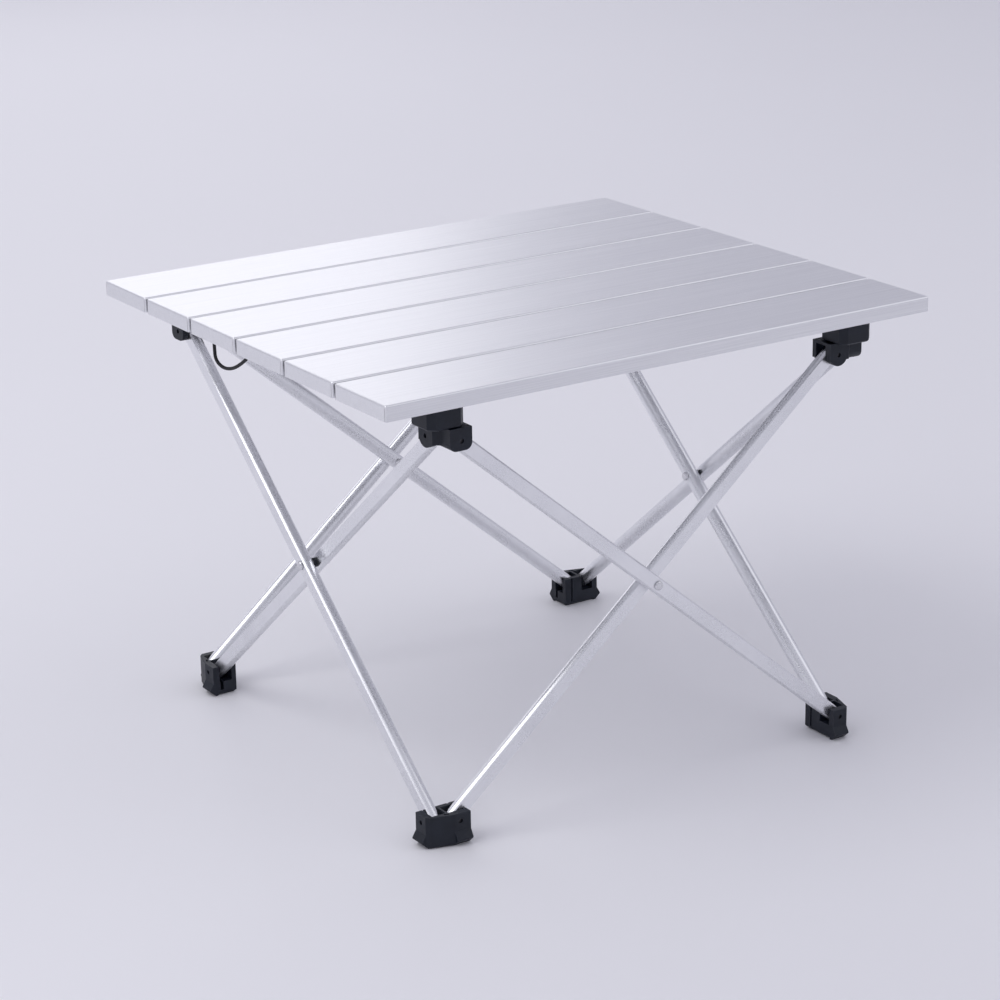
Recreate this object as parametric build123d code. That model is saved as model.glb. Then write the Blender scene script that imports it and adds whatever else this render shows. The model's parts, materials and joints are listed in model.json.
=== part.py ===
from build123d import *
import math
import os

# Folding side table. A slatted roll-up top clips onto a frame of four scissor pairs.
# X runs along the slats, Y across them (front is -Y), Z up, with the floor at Z = 0.
# Units are millimetres.

os.makedirs("parts", exist_ok=True)

# ---------------------------------------------------------------- driving dimensions
table_length = 395.0        # along the slats
table_height = 287.5        # floor to top surface
end_overhang = 47.5         # slat end to the middle of the frame's side
side_overhang = 22.5        # outer slat edge to the middle of the frame's front

slat_count = 6
slat_gap = 2.5
slat_depth = 9.5
sheet = 1.0                 # slat wall
slat_edge_radius = 1.2
slat_lip = 7.0              # return lip under each long edge
seam_width = 0.25           # slit at each folded corner
seam_depth = 8.0

tube_radius = 5.0           # D-section leg tube
tube_flat = 3.3             # flat face to tube centre
tube_wall = 1.0
tube_end_margin = 0.6       # tube's end rounding beyond its radius

rivet_radius = 2.0
rivet_head_ratio = 1.45     # head radius to shank radius
rivet_head_height = 1.4
spacer_radius = 3.0
spacer_thickness = 1.5
run_gap = 0.2               # side play between two legs
pin_radius = 1.5
pin_play = 0.05             # radial play of a pin in a leg
pin_recess = 1.2            # pin end below the moulding's face
pin_web = 1.4               # moulded web between the two legs of a corner
pin_floor = 1.1             # moulding left past a pin's blind end
slot_clear = 0.5            # leg to slot, each side

cheek_wall = 4.2            # moulding outboard of an outer leg
face_wall = 4.8             # moulding outboard of an inner leg
column_wall = 3.2           # moulding inboard of an inner leg
corner_chamfer = 3.8

foot_height = 20.5
foot_floor = 9.4            # solid base under the slots
foot_end_cover = 7.0        # foot's end past the pins
foot_nose = 2.0             # small chamfer beside the short face
foot_nose_wall = 1.9        # moulding past the slots' ends at the nose
foot_slant_end = 2.0        # where the slanted face ends, past the slots' ends
foot_edge_chamfer = 1.6
foot_rim_chamfer = 0.3
wing_reach = 2.6            # skirt beyond the foot's face
wing_top = 9.0
wing_tip = 4.6
wing_lip = 0.8
hole_length = 3.6           # oblong hole in the foot's web
hole_width = 1.3
hole_floor = 5.0
hole_lean = 22.0            # degrees, towards the slanted face
window_height = 7.5         # side window under the inner leg
window_floor = 3.6
window_frame = 2.4
groove_width = 1.6          # upright groove in the foot's column
groove_depth = 1.0
groove_floor = 2.5

hub_roof = 1.7              # moulding above a leg's end
hub_body_drop = 3.6         # plain body below the pin line
hub_lobe_margin = 1.4       # lobe beyond the leg's rounded end
hub_end_wall = 2.0          # cheek's end past the slot
hub_cheek_margin = 0.1      # cheek's bottom beyond the leg's rounded end
hub_cheek_radius = 4.5

plug_size = 12.0
plug_drop = 4.4             # plug's top below the slat's underside
plug_taper = 5.0            # lean of the plug's two inboard faces
plug_inset = 0.6            # plug to the hub's outboard faces
plug_clear = 0.4
seat_gap = 0.2              # hub shoulder to bracket

bracket_size = 24.5
bracket_height = 15.4
bracket_chamfer = 4.2
bracket_edge_chamfer = 1.0
flange_length = 35.0
flange_thickness = 2.5
flange_clear = 0.5
screw_radius = 1.25
screw_head_radius = 2.25
screw_head_height = 1.6

cord_radius = 1.1
cord_inset = 13.5           # cord line to slat end
cord_stub = 1.0             # cord standing out of a slat into the gap
knot_share = 0.8            # knot radius to the room beside the cord line
slack_slat = 4              # slat with the slack loop, counted from the front
slack_bend_share = 0.45     # share of the shorter run that an arc of the loop takes

# ---------------------------------------------------------------- derived places
frame_half = table_length / 2 - end_overhang
table_width = 2 * (frame_half + side_overhang)
slat_width = (table_width - (slat_count - 1) * slat_gap) / slat_count
underside_z = table_height - slat_depth
bracket_z = underside_z - bracket_height
hub_top_z = bracket_z - seat_gap

tube_end_radius = tube_radius + tube_end_margin
hub_lobe_radius = tube_end_radius + hub_lobe_margin
hub_pin_z = hub_top_z - hub_roof - slot_clear - tube_end_radius
foot_pin_z = foot_floor + slot_clear + tube_end_radius
cross_z = (hub_pin_z + foot_pin_z) / 2

leg_offset = (tube_radius + tube_flat + spacer_thickness + run_gap) / 2
outer_plane = frame_half + leg_offset
inner_plane = frame_half - leg_offset
slot_end = outer_plane - tube_radius - slot_clear - pin_web
pin_half = slot_end - slot_clear - tube_end_radius
leg_span = math.hypot(2 * pin_half, hub_pin_z - foot_pin_z)
leg_angle = math.degrees(math.atan2(hub_pin_z - foot_pin_z, 2 * pin_half))

cheek_face = outer_plane + tube_flat + slot_clear + cheek_wall
long_face = inner_plane + tube_flat + slot_clear + face_wall
column_face = inner_plane - tube_radius - slot_clear - column_wall
foot_end = pin_half - foot_end_cover
pin_back = column_face + pin_floor

plug_outer = long_face - plug_inset
plug_height = underside_z - plug_drop - hub_top_z
cord_x = table_length / 2 - cord_inset
cord_z = table_height - slat_depth / 2
knot_radius = knot_share * (slat_depth / 2 - sheet)
past = 1.0                  # how far a cutting tool runs past what it cuts

corners = ["front_left", "front_right", "back_right", "back_left"]
corner_signs = [(-1, -1), (1, -1), (1, 1), (-1, 1)]
sides = ["front", "right", "back", "left"]


# ---------------------------------------------------------------- helpers
def block(x_range, y_range, z_range):
    """Box between two X, two Y and two Z values."""
    low = (min(x_range), min(y_range), min(z_range))
    size = [max(r) - min(r) for r in (x_range, y_range, z_range)]
    return Pos(*low) * Box(*size, align=(Align.MIN, Align.MIN, Align.MIN))


def rod(start, end, radius):
    """Round rod between two points."""
    start, end = Vector(start), Vector(end)
    plane = Plane(origin=start, z_dir=end - start)
    return extrude(plane * Circle(radius), (end - start).length)


def prism(plane, points, length):
    """Closed outline on a plane, extruded along its normal."""
    return extrude(plane * make_face(Polyline(*points, close=True)), length)


def turned(shape, quarter_turns):
    """The front-left or front piece turned to another corner or side."""
    return Rot(0, 0, 90 * quarter_turns) * shape


def save(name, shape):
    """Write one node, with all its solids, as a STEP file."""
    solids = shape.solids()
    body = solids[0] if len(solids) == 1 else Compound(children=list(solids))
    body.label = name
    export_step(body, f"parts/{name}.step")


# ---------------------------------------------------------------- slats
def slat_start(index):
    """Front edge (lowest Y) of a slat, counted from 1 at the front."""
    return -table_width / 2 + (index - 1) * (slat_width + slat_gap)


def cord_walls(index):
    """Y of the slat's two cord walls that a cord passes, as (front, back) flags."""
    return index > 1, index < slat_count


def slat(index):
    """Folded sheet channel: top, two long walls with return lips, two end flaps."""
    front = slat_start(index)
    back = front + slat_width
    half = table_length / 2
    shell = block((-half, half), (front, back), (underside_z, table_height))
    top_edges = shell.faces().sort_by(Axis.Z)[-1].edges()
    upright_edges = shell.edges().filter_by(Axis.Z)
    shell = fillet(top_edges + upright_edges, slat_edge_radius)
    inside_x = (sheet - half, half - sheet)
    shell -= block(inside_x, (front + sheet, back - sheet), (underside_z + sheet, table_height - sheet))
    mouth = (front + sheet + slat_lip, back - sheet - slat_lip)
    shell -= block(inside_x, mouth, (underside_z - past, underside_z + 2 * sheet))
    for end in (-1, 1):
        end_x = (end * (half - sheet), end * (half + past))
        for seam_y in (front + sheet, back - sheet - seam_width):
            seam_z = (underside_z - past, underside_z + seam_depth)
            shell -= block(end_x, (seam_y, seam_y + seam_width), seam_z)
        for wall, cord_passes in zip((front, back - sheet), cord_walls(index)):
            if cord_passes:
                start = (end * cord_x, wall - past, cord_z)
                shell -= rod(start, (end * cord_x, wall + sheet + past, cord_z), cord_radius)
    if index == slack_slat:
        route = [Vector(*point) for point in slack_route()]
        for end, beside in ((route[0], route[1]), (route[-1], route[-2])):
            way = (beside - end).normalized()
            shell -= rod(end - way * sheet, end + way * 3 * sheet, cord_radius)
    if index in (1, slat_count):
        for place in screw_places(index):
            shell -= rod((*place, underside_z - past), (*place, underside_z + 2 * sheet), screw_radius)
    return shell


# ---------------------------------------------------------------- elastic cord
def cord_pieces(index):
    """The two straight cord runs inside one slat, without the slack one."""
    front = slat_start(index)
    back = front + slat_width
    passes_front, passes_back = cord_walls(index)
    start = front - cord_stub if passes_front else back - sheet - knot_radius
    end = back + cord_stub if passes_back else front + sheet + knot_radius
    runs = [rod((cord_x, start, cord_z), (cord_x, end, cord_z), cord_radius)]
    if index != slack_slat:
        runs.append(rod((-cord_x, start, cord_z), (-cord_x, end, cord_z), cord_radius))
    return Compound(children=runs)


def cord_knots(index):
    """Two stopper knots just inside the wall where the cords end."""
    front = slat_start(index)
    passes_front = cord_walls(index)[0]
    inset = sheet + 2 * knot_radius
    y, inward = (front + inset, 1) if passes_front else (front + slat_width - inset, -1)
    knots = []
    for side in (-1, 1):
        ball = Pos(side * cord_x, y, cord_z) * Sphere(knot_radius)
        cord_end = y - inward * cord_radius
        cord_start = y - inward * 2 * knot_radius
        knots.append(ball - rod((side * cord_x, cord_start, cord_z), (side * cord_x, cord_end, cord_z), cord_radius))
    return Compound(children=knots)


def slack_route():
    """Points of the slack loop that sags out of one slat, from its back lip to its front lip."""
    front = slat_start(slack_slat)
    back = front + slat_width
    run = slat_width / 8
    drop = 20.0
    across = [(back - 4.4, -sheet), (back - 4.7, 0.55 * drop), (back - 5.4, 0.89 * drop),
              (back - 2.1 * run, 1.05 * drop), (front + 4.1 * run, 0.94 * drop),
              (front + 2.3 * run, 0.62 * drop), (front + 0.75 * run, 0.24 * drop), (front + 2.9, -sheet)]
    return [(-cord_x, y, underside_z - below) for y, below in across]


def slack_loop():
    """Tube along the slack route, straight runs joined by arcs as large as they allow."""
    points = [Vector(*p) for p in slack_route()]
    runs = [b - a for a, b in zip(points, points[1:])]
    radii = []
    for before, after in zip(runs, runs[1:]):
        half_turn = math.radians(before.get_angle(after) / 2)
        radii.append(slack_bend_share * min(before.length, after.length) / math.tan(half_turn))
    path = FilletPolyline(*points, radius=radii)
    section = Plane(origin=points[0], z_dir=runs[0]) * Circle(cord_radius)
    tube = sweep(section, path=path)
    print("slack loop radii", [round(r, 1) for r in radii])
    print("slack loop length", round(path.length, 2), "tube volume", round(tube.volume, 1),
          "section x length", round(math.pi * cord_radius ** 2 * path.length, 1))
    return tube


# ---------------------------------------------------------------- brackets
def tapered_plug(grow, height):
    """Plug with upright outboard faces and two leaning inboard faces, on the hub's top."""
    outer = -plug_outer - grow
    low_inner = -plug_outer + plug_size + grow
    top_inner = low_inner - plug_taper * height / plug_height
    cut = outer + corner_chamfer
    faces = []
    for inner, z in ((low_inner, hub_top_z), (top_inner, hub_top_z + height)):
        outline = [(cut, outer), (inner, outer), (inner, inner), (outer, inner), (outer, cut)]
        faces.append(Plane.XY.offset(z) * make_face(Polyline(*outline, close=True)))
    return loft(faces)


def bracket(quarter_turns):
    """Socket block under an end slat, with a flange that lies on the slat's lips."""
    half = bracket_size / 2
    span = (-frame_half - half, -frame_half + half)
    body = block(span, span, (bracket_z, underside_z + sheet + flange_thickness))
    body = chamfer(body.edges().filter_by(Axis.Z), bracket_chamfer)
    body = chamfer(body.faces().sort_by(Axis.Z)[0].edges(), bracket_edge_chamfer)
    body -= tapered_plug(plug_clear, plug_height + plug_clear)
    body = turned(body, quarter_turns)
    side_x, side_y = corner_signs[quarter_turns]
    index = 1 if side_y < 0 else slat_count
    slat_front = slat_start(index)
    flange_x = (side_x * (frame_half - flange_length / 2), side_x * (frame_half + flange_length / 2))
    flange_y = (slat_front + sheet + flange_clear, slat_front + slat_width - sheet - flange_clear)
    flange_z = (underside_z + sheet, underside_z + sheet + flange_thickness)
    body += block(flange_x, flange_y, flange_z)
    for x, y in screw_places(index):
        if x * side_x > 0:
            body -= rod((x, y, flange_z[0] - past), (x, y, flange_z[1] + past), screw_radius)
    return body


def screw_places(index):
    """X and Y of the screws through an end slat's lips."""
    front = slat_start(index)
    lips = (front + sheet + slat_lip / 2, front + slat_width - sheet - slat_lip / 2)
    return [(side * frame_half, lip) for side in (-1, 1) for lip in lips]


def bracket_screws(index):
    """Pan-head screws up through the lips into the brackets' flanges."""
    screws = []
    for x, y in screw_places(index):
        head = rod((x, y, underside_z - screw_head_height), (x, y, underside_z), screw_head_radius)
        head = chamfer(head.edges().sort_by(Axis.Z)[0], screw_head_height / 3)
        shank_top = underside_z + sheet + flange_thickness
        screws.append(head + rod((x, y, underside_z), (x, y, shank_top), screw_radius))
    return Compound(children=screws)


# ---------------------------------------------------------------- legs
def leg_tube():
    """D-section tube along +X from one pin to the other, flat face towards -Y."""
    reach = tube_end_radius + past
    outer = Circle(tube_radius) & Pos(0, tube_radius - tube_flat) * Rectangle(4 * tube_radius, 2 * tube_radius)
    inner_radius = tube_radius - tube_wall
    inner = Circle(inner_radius) & Pos(0, tube_radius - tube_flat + tube_wall) * Rectangle(
        4 * tube_radius, 2 * tube_radius)
    section = Plane(origin=(-reach, 0, 0), x_dir=(0, 0, 1), z_dir=(1, 0, 0))
    section = section * Rot(0, 0, 180) * (outer - inner)
    tube = extrude(section, leg_span + 2 * reach)
    side = Plane(origin=(leg_span / 2, 2 * tube_radius, 0), x_dir=(1, 0, 0), z_dir=(0, -1, 0))
    rounding = extrude(side * SlotCenterToCenter(leg_span, 2 * tube_end_radius), 4 * tube_radius)
    return tube & rounding


def leg(outer):
    """Front leg between its foot pin and its hub pin, drilled for two pins and the rivet."""
    tube = leg_tube()
    rivet_hole = rivet_radius + (pin_play if outer else 0)
    for at, radius in ((0, pin_radius + pin_play), (leg_span, pin_radius + pin_play), (leg_span / 2, rivet_hole)):
        tube -= rod((at, -2 * tube_radius, 0), (at, 2 * tube_radius, 0), radius)
    if outer:
        return Pos(pin_half, -outer_plane, foot_pin_z) * Rot(0, leg_angle - 180, 0) * tube
    return Pos(-pin_half, -inner_plane, foot_pin_z) * Rot(0, -leg_angle, 0) * tube


def crossing_rivet():
    """Rivet through the front scissor pair, fixed in the inner leg."""
    outside = -outer_plane - tube_flat - run_gap
    inside = -inner_plane + tube_radius
    shank = rod((0, outside, cross_z), (0, inside, cross_z), rivet_radius)
    for face, way in ((outside, -1), (inside, 1)):
        plane = Plane(origin=(0, face, cross_z), x_dir=(1, 0, 0), z_dir=(0, way, 0))
        head = extrude(plane * Circle(rivet_head_ratio * rivet_radius), rivet_head_height)
        rim = head.edges().filter_by(GeomType.CIRCLE).sort_by(Axis.Y)[0 if way < 0 else -1]
        shank += fillet(rim, rivet_head_height * 0.8)
    return shank


def crossing_spacer():
    """Washer between the two front legs, on the inner leg's flat."""
    start = -inner_plane - tube_flat
    washer = rod((0, start - spacer_thickness, cross_z), (0, start, cross_z), spacer_radius)
    return washer - rod((0, start - 2 * spacer_thickness, cross_z), (0, start + past, cross_z), rivet_radius)


# ---------------------------------------------------------------- corner slots and pins
def corner_slots(low_z, high_z):
    """Front-left room for a leg in its outer plane along Y and one in its inner plane along X."""
    far = -frame_half / 2
    outer_x = (-outer_plane - tube_flat - slot_clear, -outer_plane + tube_radius + slot_clear)
    inner_y = (-inner_plane - tube_flat - slot_clear, -inner_plane + tube_radius + slot_clear)
    along_y = block(outer_x, (-slot_end, far), (low_z, high_z))
    along_x = block((-slot_end, far), inner_y, (low_z, high_z))
    return along_y + along_x


def corner_rods(z, beyond):
    """Front-left rods on the two pin lines, reaching this far beyond the mouldings' faces."""
    web_inside = -slot_end - slot_clear / 2
    across = rod((-cheek_face - beyond, -pin_half, z), (web_inside, -pin_half, z), pin_radius)
    along = rod((-pin_half, -long_face - beyond, z), (-pin_half, -pin_back, z), pin_radius)
    return [across, along]


# ---------------------------------------------------------------- feet
def foot_wing(length, at, quarter_turns):
    """Skirt along one outboard face; the profile's first point is on that face."""
    inside = 2 * foot_edge_chamfer
    profile = [(0, wing_top), (-wing_reach, wing_tip), (-wing_reach, wing_tip - wing_lip),
               (foot_edge_chamfer, 0), (inside, 0), (inside, wing_top)]
    plane = Plane(origin=(0, 0, 0), x_dir=(1, 0, 0), z_dir=(0, -1, 0))
    return Pos(*at) * Rot(0, 0, 90 * quarter_turns) * prism(plane, profile, length)


def foot():
    """Front-left foot: six-sided block with two leg slots, mouldings and a flared skirt."""
    side_end = -slot_end + foot_nose_wall - foot_nose / 2
    nose = (-cheek_face + foot_nose, side_end - foot_nose)
    front_start = -slot_end + foot_slant_end
    outline = [(-cheek_face, -column_face), (-cheek_face, side_end), nose, (front_start, -long_face),
               (-foot_end, -long_face), (-foot_end, -column_face)]
    body = prism(Plane.XY, outline, foot_height)
    body = chamfer(body.faces().sort_by(Axis.Z)[0].edges(), foot_edge_chamfer)
    body = chamfer(body.faces().sort_by(Axis.Z)[-1].edges(), foot_rim_chamfer)
    body += foot_wing(-column_face - side_end, (-cheek_face, -column_face, 0), 0)
    body += foot_wing(-foot_end - front_start, (front_start, -long_face, 0), 1)
    body -= corner_slots(foot_floor, foot_height + past)
    for pin_hole in corner_rods(foot_pin_z, past):
        body -= pin_hole
    return body - foot_recesses()


def foot_recesses():
    """Oblong hole in the web, window under the inner leg and groove in the column's face."""
    hole_x = -slot_end - foot_slant_end
    hole_y = -slot_end - foot_nose_wall
    oblong = extrude(SlotOverall(hole_length, hole_width), foot_height)
    hole = Pos(hole_x, hole_y, hole_floor) * Rot(0, 0, -hole_lean) * oblong
    outer_side = -inner_plane - tube_flat
    window = block((-slot_end + window_frame, -foot_end + past), (outer_side, outer_side + window_frame),
                   (window_floor, window_floor + window_height))
    groove_x = (-slot_end - foot_end) / 2
    groove = block((groove_x, groove_x + groove_width), (-column_face - groove_depth, -column_face + past),
                   (groove_floor, foot_height + past))
    return hole + window + groove


# ---------------------------------------------------------------- hubs
# A hub is the mirror of a foot about the corner's diagonal: its outer leg is the front one.
hub_bottom_z = hub_pin_z - hub_body_drop


def mirrored(shape):
    """Swap X and Y."""
    return shape.mirror(Plane(origin=(0, 0, 0), z_dir=(1, -1, 0)))


def lobed_wall(near, far, start):
    """Wall facing X from near to far, from start in Y to the end of the lobe round its pin."""
    wall = block((near, far), (start, -pin_half + hub_lobe_radius), (hub_bottom_z, hub_top_z))
    lobe = rod((near, -pin_half, hub_pin_z), (far, -pin_half, hub_pin_z), hub_lobe_radius)
    return wall + lobe


def hub_cheek():
    """Wall outside the outer leg, with rounded lower corners."""
    reach_x = (-cheek_face, -long_face + corner_chamfer)
    reach_y = (-slot_end - hub_end_wall, -pin_half + hub_lobe_radius)
    wall = block(reach_x, reach_y, (hub_pin_z - tube_end_radius - hub_cheek_margin, hub_top_z))
    return fillet(wall.edges().filter_by(Axis.X).sort_by(Axis.Z)[:2], hub_cheek_radius)


def hub():
    """Front-left hub: leg slots open downwards, cheek outside the outer leg, plug on top."""
    body = lobed_wall(-long_face, -column_face, -long_face)
    body += mirrored(lobed_wall(-long_face, -slot_end, -long_face))
    outer_edge = body.edges().filter_by(Axis.Z).sort_by(lambda e: e.center().X + e.center().Y)[0]
    body = chamfer(outer_edge, corner_chamfer)
    body += mirrored(hub_cheek())
    body -= mirrored(corner_slots(hub_bottom_z - 2 * hub_lobe_radius, hub_top_z - hub_roof))
    for pin_hole in corner_rods(hub_pin_z, past):
        body -= mirrored(pin_hole)
    return body + tapered_plug(0, plug_height)


# ---------------------------------------------------------------- build
for number in range(1, slat_count + 1):
    save(f"slat_{number}", slat(number))
    save(f"elastic_cord_{number}", cord_pieces(number))
save("slack_cord_loop", slack_loop())
for number, place in ((1, "front"), (slat_count, "back")):
    save(f"cord_knots_{place}", cord_knots(number))
    save(f"bracket_screws_{place}", bracket_screws(number))

hub_pins = Compound(children=[mirrored(pin) for pin in corner_rods(hub_pin_z, -pin_recess)])
foot_pins = Compound(children=corner_rods(foot_pin_z, -pin_recess))
for turns, corner in enumerate(corners):
    save(f"bracket_{corner}", bracket(turns))
    save(f"hub_{corner}", turned(hub(), turns))
    save(f"hub_pins_{corner}", turned(hub_pins, turns))
    save(f"foot_{corner}", turned(foot(), turns))
    save(f"foot_pins_{corner}", turned(foot_pins, turns))

for turns, side in enumerate(sides):
    save(f"leg_{side}_outer", turned(leg(True), turns))
    save(f"leg_{side}_inner", turned(leg(False), turns))
    save(f"rivet_{side}", turned(crossing_rivet(), turns))
    save(f"spacer_{side}", turned(crossing_spacer(), turns))

print("leg span", round(leg_span, 3), "rest angle", round(leg_angle, 4), "pin half spacing", pin_half)
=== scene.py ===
import json
import math

import bpy
from mathutils import Matrix, Vector


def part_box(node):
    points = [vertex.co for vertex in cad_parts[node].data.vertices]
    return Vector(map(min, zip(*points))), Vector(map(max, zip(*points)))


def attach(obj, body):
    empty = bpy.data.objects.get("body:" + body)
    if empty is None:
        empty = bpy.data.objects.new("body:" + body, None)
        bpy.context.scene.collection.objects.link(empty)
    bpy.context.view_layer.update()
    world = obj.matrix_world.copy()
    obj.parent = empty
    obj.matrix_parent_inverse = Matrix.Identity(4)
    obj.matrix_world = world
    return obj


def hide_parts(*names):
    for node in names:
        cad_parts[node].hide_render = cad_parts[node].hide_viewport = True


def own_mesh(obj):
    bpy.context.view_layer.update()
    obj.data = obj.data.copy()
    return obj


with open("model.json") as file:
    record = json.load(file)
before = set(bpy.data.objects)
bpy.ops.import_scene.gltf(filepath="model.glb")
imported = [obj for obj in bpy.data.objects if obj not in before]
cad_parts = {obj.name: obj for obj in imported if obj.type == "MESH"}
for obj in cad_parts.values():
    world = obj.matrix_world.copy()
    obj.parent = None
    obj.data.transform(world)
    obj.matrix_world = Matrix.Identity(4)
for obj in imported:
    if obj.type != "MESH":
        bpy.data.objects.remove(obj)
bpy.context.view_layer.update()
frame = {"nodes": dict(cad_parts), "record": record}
nodes = frame["nodes"]
scene = bpy.context.scene
MM = 0.001

# Camera: place in metres, angles in degrees, lens and sensor in millimetres.
CAMERA_PLACE = (-0.9835, -1.4817, 0.7509)
VIEW_AZIMUTH = -33.311
VIEW_ELEVATION = 18.776
VIEW_TILT = -0.896
LENS = 104.484
SENSOR_WIDTH = 36.0
CLIP_NEAR = 0.05
CLIP_FAR = 50.0

# Backdrop, in metres: a floor that bends up into a wall.
FLOOR_WIDTH = 14.0
FLOOR_FRONT = -6.0
WALL_AWAY = 3.2
WALL_BEND = 1.2
WALL_BEND_STEPS = 24
WALL_TOP = 7.0

# Lights: name, place, target, size in metres and power in watts.
LIGHTS = (
    ("key", (-1.7, 0.4, 2.2), (0.0, 0.0, 0.15), (1.6, 1.6), 18.0),
    ("panel", (0.5, 3.0, 1.5), (-0.1, 0.0, 0.1), (2.6, 1.8), 12.0),
    ("fill", (1.8, -1.4, 1.9), (0.1, 0.0, 0.0), (2.2, 2.2), 6.0),
)
WORLD_COLOUR = (0.885, 0.885, 1.0, 1.0)
WORLD_STRENGTH = 0.66

# Moulded plastic: how far the lighter rims reach (partly rubbed wear, partly a painted edge
# highlight), and the small round on every sharp edge.
RIM_WEAR_AND_HIGHLIGHT_REACH = 0.0006
WELD_DISTANCE = 0.00001
EDGE_ROUND = 0.00025
EDGE_ROUND_SEGMENTS = 2
SHARP_EDGE_ANGLE = 35

# Braided cord, in metres.
BRAID_STRANDS = 6
BRAID_PITCH = 0.0016
CORD_SIDES = 20
CORD_CLEARANCE = 0.00002
LOOP_DROP_MM = 20.0
ROUTE_RESOLUTION = 24


# ---------------------------------------------------------------- camera
def make_camera():
    """Camera at the photograph's angle, with its slight tilt."""
    azimuth, elevation = math.radians(VIEW_AZIMUTH), math.radians(VIEW_ELEVATION)
    back = Vector((math.sin(azimuth) * math.cos(elevation),
                   -math.cos(azimuth) * math.cos(elevation), math.sin(elevation)))
    data = bpy.data.cameras.new("view")
    data.sensor_width = SENSOR_WIDTH
    data.lens = LENS
    data.clip_start, data.clip_end = CLIP_NEAR, CLIP_FAR
    camera = bpy.data.objects.new("view", data)
    tilt = Matrix.Rotation(math.radians(VIEW_TILT), 3, "Z")
    turn = (-back).to_track_quat("-Z", "Y").to_matrix() @ tilt
    camera.matrix_world = Matrix.Translation(CAMERA_PLACE) @ turn.to_4x4()
    scene.collection.objects.link(camera)
    scene.camera = camera


# ---------------------------------------------------------------- node helpers
class Nodes:
    """A material's node tree with short calls."""

    def __init__(self, name):
        self.material = bpy.data.materials.new(name)
        self.material.use_nodes = True
        self.tree = self.material.node_tree
        self.tree.nodes.clear()
        self.shader = self.add("ShaderNodeBsdfPrincipled")
        output = self.add("ShaderNodeOutputMaterial")
        self.tree.links.new(self.shader.outputs[0], output.inputs[0])
        self.place = self.add("ShaderNodeTexCoord").outputs["Object"]

    def add(self, kind, **values):
        node = self.tree.nodes.new(kind)
        for key, value in values.items():
            setattr(node, key, value)
        return node

    def feed(self, node, inputs):
        """Link each socket, or set each plain value, on the node's own inputs."""
        for key, value in inputs.items():
            if isinstance(value, bpy.types.NodeSocket):
                self.tree.links.new(value, node.inputs[key])
            else:
                node.inputs[key].default_value = value
        return node

    def stretched(self, scale):
        mapping = self.add("ShaderNodeMapping")
        return self.feed(mapping, {"Vector": self.place, "Scale": scale}).outputs[0]

    def noise(self, scale, detail=2.0, roughness=0.5, stretch=(1, 1, 1)):
        node = self.add("ShaderNodeTexNoise")
        self.feed(node, {"Vector": self.stretched(stretch), "Scale": scale, "Detail": detail,
                         "Roughness": roughness})
        return node.outputs[0]

    def ramp(self, value, low, high, out_low=0.0, out_high=1.0):
        node = self.add("ShaderNodeMapRange")
        self.feed(node, {"Value": value, "From Min": low, "From Max": high, "To Min": out_low,
                         "To Max": out_high})
        return node.outputs[0]

    def blend(self, factor, first, second):
        node = self.add("ShaderNodeMix", data_type="RGBA")
        return self.feed(node, {0: factor, 6: first, 7: second}).outputs[2]

    def maths(self, how, *values):
        node = self.add("ShaderNodeMath", operation=how)
        return self.feed(node, dict(enumerate(values))).outputs[0]

    def plus(self, first, second):
        return self.maths("ADD", first, second)

    def minus(self, first, second):
        return self.maths("SUBTRACT", first, second)

    def times(self, first, second):
        return self.maths("MULTIPLY", first, second)

    def bump(self, height, strength, distance):
        node = self.add("ShaderNodeBump")
        self.feed(node, {"Height": height, "Strength": strength, "Distance": distance})
        self.tree.links.new(node.outputs[0], self.shader.inputs["Normal"])

    def surface(self, **inputs):
        self.feed(self.shader, {key.replace("_", " "): value for key, value in inputs.items()})
        return self.material


def colour(r, g, b):
    return (r, g, b, 1.0)


def slat_metal():
    """Aluminium sheet brushed along X, with a few faint long streaks and small scuffs."""
    n = Nodes("slat_aluminium")
    fine = n.noise(1.0, detail=3.0, roughness=0.6, stretch=(14, 3200, 3200))
    streak = n.noise(1.0, detail=2.0, roughness=0.5, stretch=(2.5, 420, 420))
    scuff = n.ramp(n.noise(1.0, detail=4.0, roughness=0.7, stretch=(60, 420, 420)), 0.66, 0.74)
    grain = n.plus(n.times(fine, 0.8), n.times(streak, 0.2))
    tone = n.blend(n.ramp(grain, 0.38, 0.62), colour(0.76, 0.765, 0.785), colour(0.86, 0.865, 0.88))
    rough = n.ramp(grain, 0.3, 0.7, out_low=0.31, out_high=0.40)
    n.bump(fine, strength=0.05, distance=0.00005)
    return n.surface(Base_Color=tone, Metallic=1.0, Roughness=n.plus(rough, n.times(scuff, 0.08)))


def leg_metal():
    """Satin anodised tube with faint handling marks."""
    n = Nodes("leg_aluminium")
    fine = n.noise(1100.0, detail=3.0, roughness=0.6)
    cloud = n.noise(25.0, detail=3.0, roughness=0.55)
    mark = n.ramp(n.noise(140.0, detail=4.0, roughness=0.7), 0.64, 0.74)
    tone = n.blend(n.ramp(cloud, 0.3, 0.7), colour(0.78, 0.785, 0.81), colour(0.86, 0.865, 0.885))
    rough = n.plus(n.ramp(cloud, 0.3, 0.7, out_low=0.26, out_high=0.30),
                   n.ramp(fine, 0.3, 0.7, out_low=-0.015, out_high=0.015))
    n.bump(fine, strength=0.05, distance=0.00001)
    return n.surface(Base_Color=tone, Metallic=1.0, Roughness=n.plus(rough, n.times(mark, 0.05)))


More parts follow.
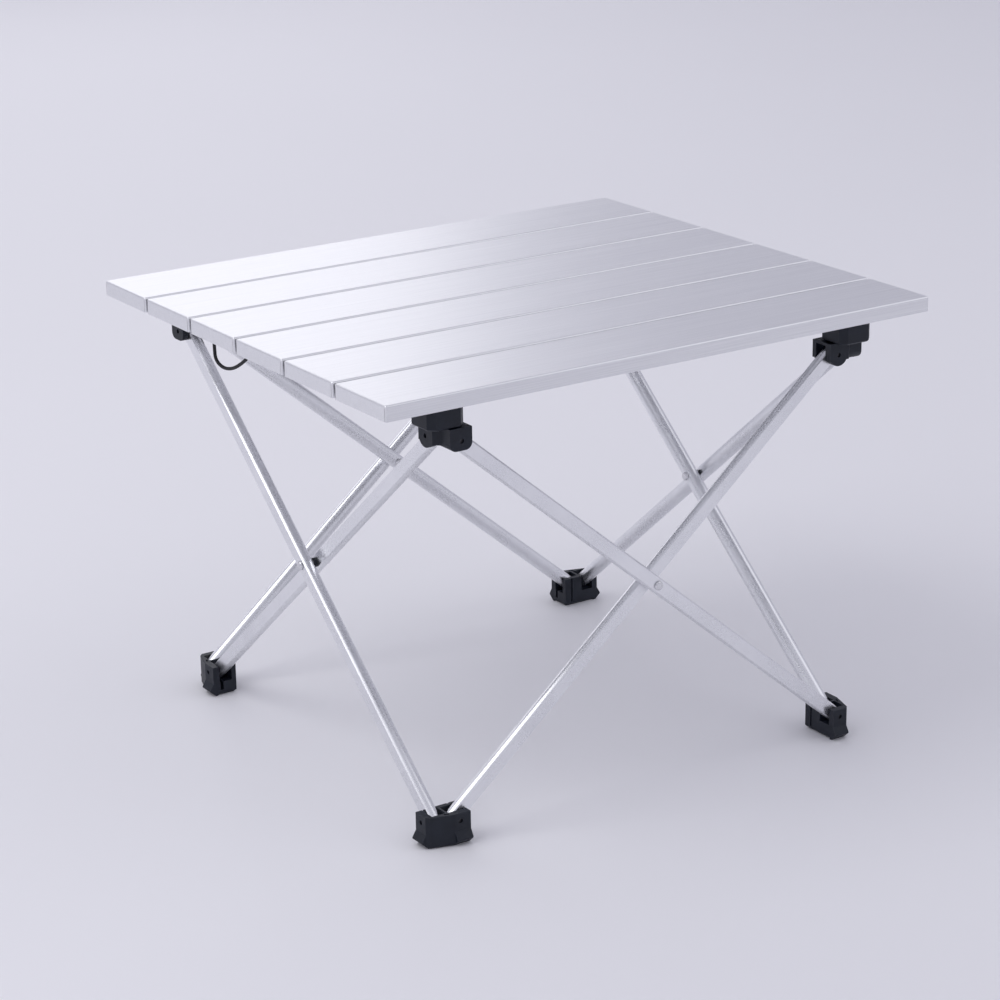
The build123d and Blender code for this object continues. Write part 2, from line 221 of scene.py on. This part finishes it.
def plastic():
    """Moulded nylon with a fine texture and rims painted a little lighter: partly rubbed wear, partly
    a painted edge highlight.
    """
    n = Nodes("black_plastic")
    fine = n.noise(1800.0, detail=3.0, roughness=0.6)
    cloud = n.noise(60.0, detail=4.0, roughness=0.6)
    rim = n.add("ShaderNodeBevel", samples=6)
    n.feed(rim, {"Radius": RIM_WEAR_AND_HIGHLIGHT_REACH})
    flat = n.add("ShaderNodeNewGeometry").outputs["Normal"]
    turn = n.add("ShaderNodeVectorMath", operation="DOT_PRODUCT")
    n.feed(turn, {0: rim.outputs[0], 1: flat})
    # Lighter colour on the sharp edges: partly rubbed wear, partly a painted edge highlight.
    edge = n.ramp(n.minus(turn.outputs["Value"], n.times(cloud, 0.06)), 0.96, 0.80)
    base = n.blend(n.ramp(cloud, 0.3, 0.7), colour(0.006, 0.0085, 0.015), colour(0.012, 0.016, 0.026))
    tone = n.blend(n.times(edge, 0.5), base, colour(0.055, 0.060, 0.075))
    rough = n.plus(n.ramp(cloud, 0.3, 0.7, out_low=0.42, out_high=0.56),
                   n.ramp(fine, 0.3, 0.7, out_low=-0.05, out_high=0.05))
    n.bump(fine, strength=0.22, distance=0.00008)
    return n.surface(Base_Color=tone, Roughness=rough, IOR=1.38)


def turned_metal(name, dark, light, low, high):
    """Small turned or headed part: pins, screws and rivets."""
    n = Nodes(name)
    fine = n.noise(1500.0, detail=3.0, roughness=0.6)
    tone = n.blend(n.ramp(fine, 0.3, 0.7), colour(*dark), colour(*light))
    n.bump(fine, strength=0.05, distance=0.00005)
    return n.surface(Base_Color=tone, Metallic=1.0, Roughness=n.ramp(fine, 0.3, 0.7, low, high))


def cord_cloth(name, height=None):
    """Black elastic's woven cover; the loop passes its braid as height, and the colour follows that
    height as painted shade in the crevices.
    """
    n = Nodes(name)
    fine = n.noise(2500.0, detail=2.0, roughness=0.6)
    weave_height_and_shade = height(n) if height else fine
    # The colour darkens where the weave's height is low: with the braid, painted shade in the crevices
    # between strands and lighter raised strands.
    tone = n.blend(n.times(n.ramp(weave_height_and_shade, 0.2, 0.8), fine), colour(0.004, 0.004, 0.005),
                   colour(0.040, 0.041, 0.046))
    n.bump(weave_height_and_shade, strength=0.6, distance=0.00015)
    return n.surface(Base_Color=tone, Roughness=n.ramp(fine, 0.3, 0.7, out_low=0.62, out_high=0.85))


def braid(n):
    """Diamonds where two sets of strands cross; U runs round the cord and V along it."""
    place = n.add("ShaderNodeTexCoord").outputs["UV"]
    parts = n.add("ShaderNodeSeparateXYZ")
    n.feed(parts, {"Vector": place})
    round_it = n.times(parts.outputs["X"], 2 * math.pi * BRAID_STRANDS)
    along = n.times(parts.outputs["Y"], 2 * math.pi / BRAID_PITCH)
    one = n.maths("SINE", n.plus(round_it, along))
    other = n.maths("SINE", n.minus(round_it, along))
    return n.ramp(n.times(one, other), -1.0, 1.0)


def backdrop_paper():
    """Seamless pale paper with a very slight unevenness."""
    n = Nodes("backdrop")
    cloud = n.noise(0.8, detail=2.0, roughness=0.5)
    tone = n.blend(n.ramp(cloud, 0.3, 0.7), colour(0.845, 0.84, 0.865), colour(0.86, 0.855, 0.88))
    return n.surface(Base_Color=tone, Roughness=0.6)


# ---------------------------------------------------------------- studio
def studio():
    """Paper floor that bends up into a wall square to the view, and the sky's even light."""
    profile = [(FLOOR_FRONT, 0.0)]
    for k in range(WALL_BEND_STEPS + 1):
        angle = math.pi / 2 * k / WALL_BEND_STEPS
        profile.append((WALL_AWAY + WALL_BEND * math.sin(angle), WALL_BEND * (1 - math.cos(angle))))
    profile.append((WALL_AWAY + WALL_BEND, WALL_TOP))
    points = [(side * FLOOR_WIDTH / 2, y, z) for y, z in profile for side in (-1, 1)]
    faces = [(2 * k, 2 * k + 1, 2 * k + 3, 2 * k + 2) for k in range(len(profile) - 1)]
    mesh = bpy.data.meshes.new("floor")
    mesh.from_pydata(points, [], faces)
    for face in mesh.polygons:
        face.use_smooth = True
    floor = bpy.data.objects.new("floor", mesh)
    floor.data.materials.append(backdrop_paper())
    floor.rotation_euler = (0, 0, math.radians(VIEW_AZIMUTH))
    scene.collection.objects.link(floor)
    world = bpy.data.worlds.new("studio")
    world.use_nodes = True
    background = world.node_tree.nodes["Background"]
    background.inputs[0].default_value = WORLD_COLOUR
    background.inputs[1].default_value = WORLD_STRENGTH
    scene.world = world


def area_light(name, place, target, size, power):
    data = bpy.data.lights.new(name, "AREA")
    data.shape = "RECTANGLE"
    data.size, data.size_y = size
    data.energy = power
    light = bpy.data.objects.new(name, data)
    light.location = place
    light.rotation_mode = "QUATERNION"
    light.rotation_quaternion = (Vector(target) - Vector(place)).to_track_quat("-Z", "Y")
    scene.collection.objects.link(light)


# ---------------------------------------------------------------- slack elastic cord
def slack_route():
    """The loop's route points in metres, from slat 4's back lip to its front lip."""
    low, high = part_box("slat_4")
    front, back, under = low[1] / MM, high[1] / MM, low[2] / MM
    cord_low, cord_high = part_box("slack_cord_loop")
    x = (cord_low[0] + cord_high[0]) / 2
    run = (back - front) / 8
    drop = LOOP_DROP_MM
    across = [(back - 4.4, -1.0), (back - 4.7, 0.55 * drop), (back - 5.4, 0.89 * drop),
              (back - 2.1 * run, 1.05 * drop), (front + 4.1 * run, 0.94 * drop),
              (front + 2.3 * run, 0.62 * drop), (front + 0.75 * run, 0.24 * drop), (front + 2.9, -1.0)]
    return [Vector((x, y * MM, (under - below) * MM)) for y, below in across]


def route_line(route):
    """Close points along the NURBS line through the route."""
    curve = bpy.data.curves.new("slack_route", "CURVE")
    curve.dimensions = "3D"
    curve.resolution_u = ROUTE_RESOLUTION
    spline = curve.splines.new("NURBS")
    spline.points.add(len(route) - 1)
    for point, place in zip(spline.points, route):
        point.co = (*place, 1.0)
    spline.order_u = 3
    spline.use_endpoint_u = True
    guide = bpy.data.objects.new("slack_route", curve)
    mesh = bpy.data.meshes.new_from_object(guide)
    line = [vertex.co.copy() for vertex in mesh.vertices]
    bpy.data.objects.remove(guide)
    bpy.data.meshes.remove(mesh)
    bpy.data.curves.remove(curve)
    return line


def tube_mesh(name, line, radius, sides=CORD_SIDES):
    """Round tube in the plane across X, with U round the tube and V along it in metres."""
    points, distances, travelled = [], [], 0.0
    for k, place in enumerate(line):
        way = (line[min(k + 1, len(line) - 1)] - line[max(k - 1, 0)]).normalized()
        side = Vector((1.0, 0.0, 0.0))
        up = side.cross(way)
        travelled += (place - line[k - 1]).length if k else 0.0
        distances.append(travelled)
        for j in range(sides):
            angle = 2 * math.pi * j / sides
            points.append(place + radius * (math.cos(angle) * side + math.sin(angle) * up))
    faces, uvs = [], []
    for k in range(len(line) - 1):
        ring, following = k * sides, (k + 1) * sides
        for j in range(sides):
            after = (j + 1) % sides
            faces.append((ring + j, ring + after, following + after, following + j))
            left, right = j / sides, (j + 1) / sides
            uvs += [(left, distances[k]), (right, distances[k]),
                    (right, distances[k + 1]), (left, distances[k + 1])]
    for k in (0, len(line) - 1):
        faces.append(tuple(k * sides + j for j in range(sides)))
        uvs += [(0.0, distances[k])] * sides
    mesh = bpy.data.meshes.new(name)
    mesh.from_pydata(points, [], faces)
    layer = mesh.uv_layers.new(name="UVMap")
    for corner, uv in zip(layer.data, uvs):
        corner.uv = uv
    for face in mesh.polygons:
        face.use_smooth = len(face.vertices) == 4
    return mesh, travelled


def slack_cord():
    """The limp loop of elastic cord that hangs out of slat 4."""
    route = slack_route()
    line = route_line(route)
    cord_low, cord_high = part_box("slack_cord_loop")
    diameter = cord_high[0] - cord_low[0]
    mesh, length = tube_mesh("slack_cord", line, diameter / 2 - CORD_CLEARANCE)
    cord = bpy.data.objects.new("slack_cord", mesh)
    cord.data.materials.append(cord_cloth("black_cord_braid", braid))
    scene.collection.objects.link(cord)
    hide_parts("slack_cord_loop")
    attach(cord, "slat_4")
    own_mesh(cord)


def round_edges(node):
    """Join the solid's split corners and round its sharp edges slightly."""
    weld = node.modifiers.new("weld", "WELD")
    weld.merge_threshold = WELD_DISTANCE
    bevel = node.modifiers.new("rims", "BEVEL")
    bevel.width, bevel.segments = EDGE_ROUND, EDGE_ROUND_SEGMENTS
    bevel.limit_method, bevel.angle_limit = "ANGLE", math.radians(SHARP_EDGE_ANGLE)
    bevel.use_clamp_overlap = True


# ---------------------------------------------------------------- build the picture
make_camera()
studio()
for light in LIGHTS:
    area_light(*light)

scene.view_settings.view_transform = "Standard"

finishes = {
    "slat_aluminium": slat_metal(),
    "leg_aluminium": leg_metal(),
    "black_plastic": plastic(),
    "pin_steel": turned_metal("pin_steel", (0.05, 0.05, 0.055), (0.08, 0.08, 0.085), 0.35, 0.45),
    "rivet_steel": turned_metal("rivet_steel", (0.62, 0.62, 0.64), (0.80, 0.80, 0.82), 0.14, 0.22),
    "black_cord": cord_cloth("black_cord"),
}
slots = {part["node"]: part["material_slot"] for part in frame["record"]["subparts"]}
for name, node in nodes.items():
    node.data.materials.clear()
    node.data.materials.append(finishes[slots[name]])
    if slots[name] == "black_plastic":
        round_edges(node)
slack_cord()
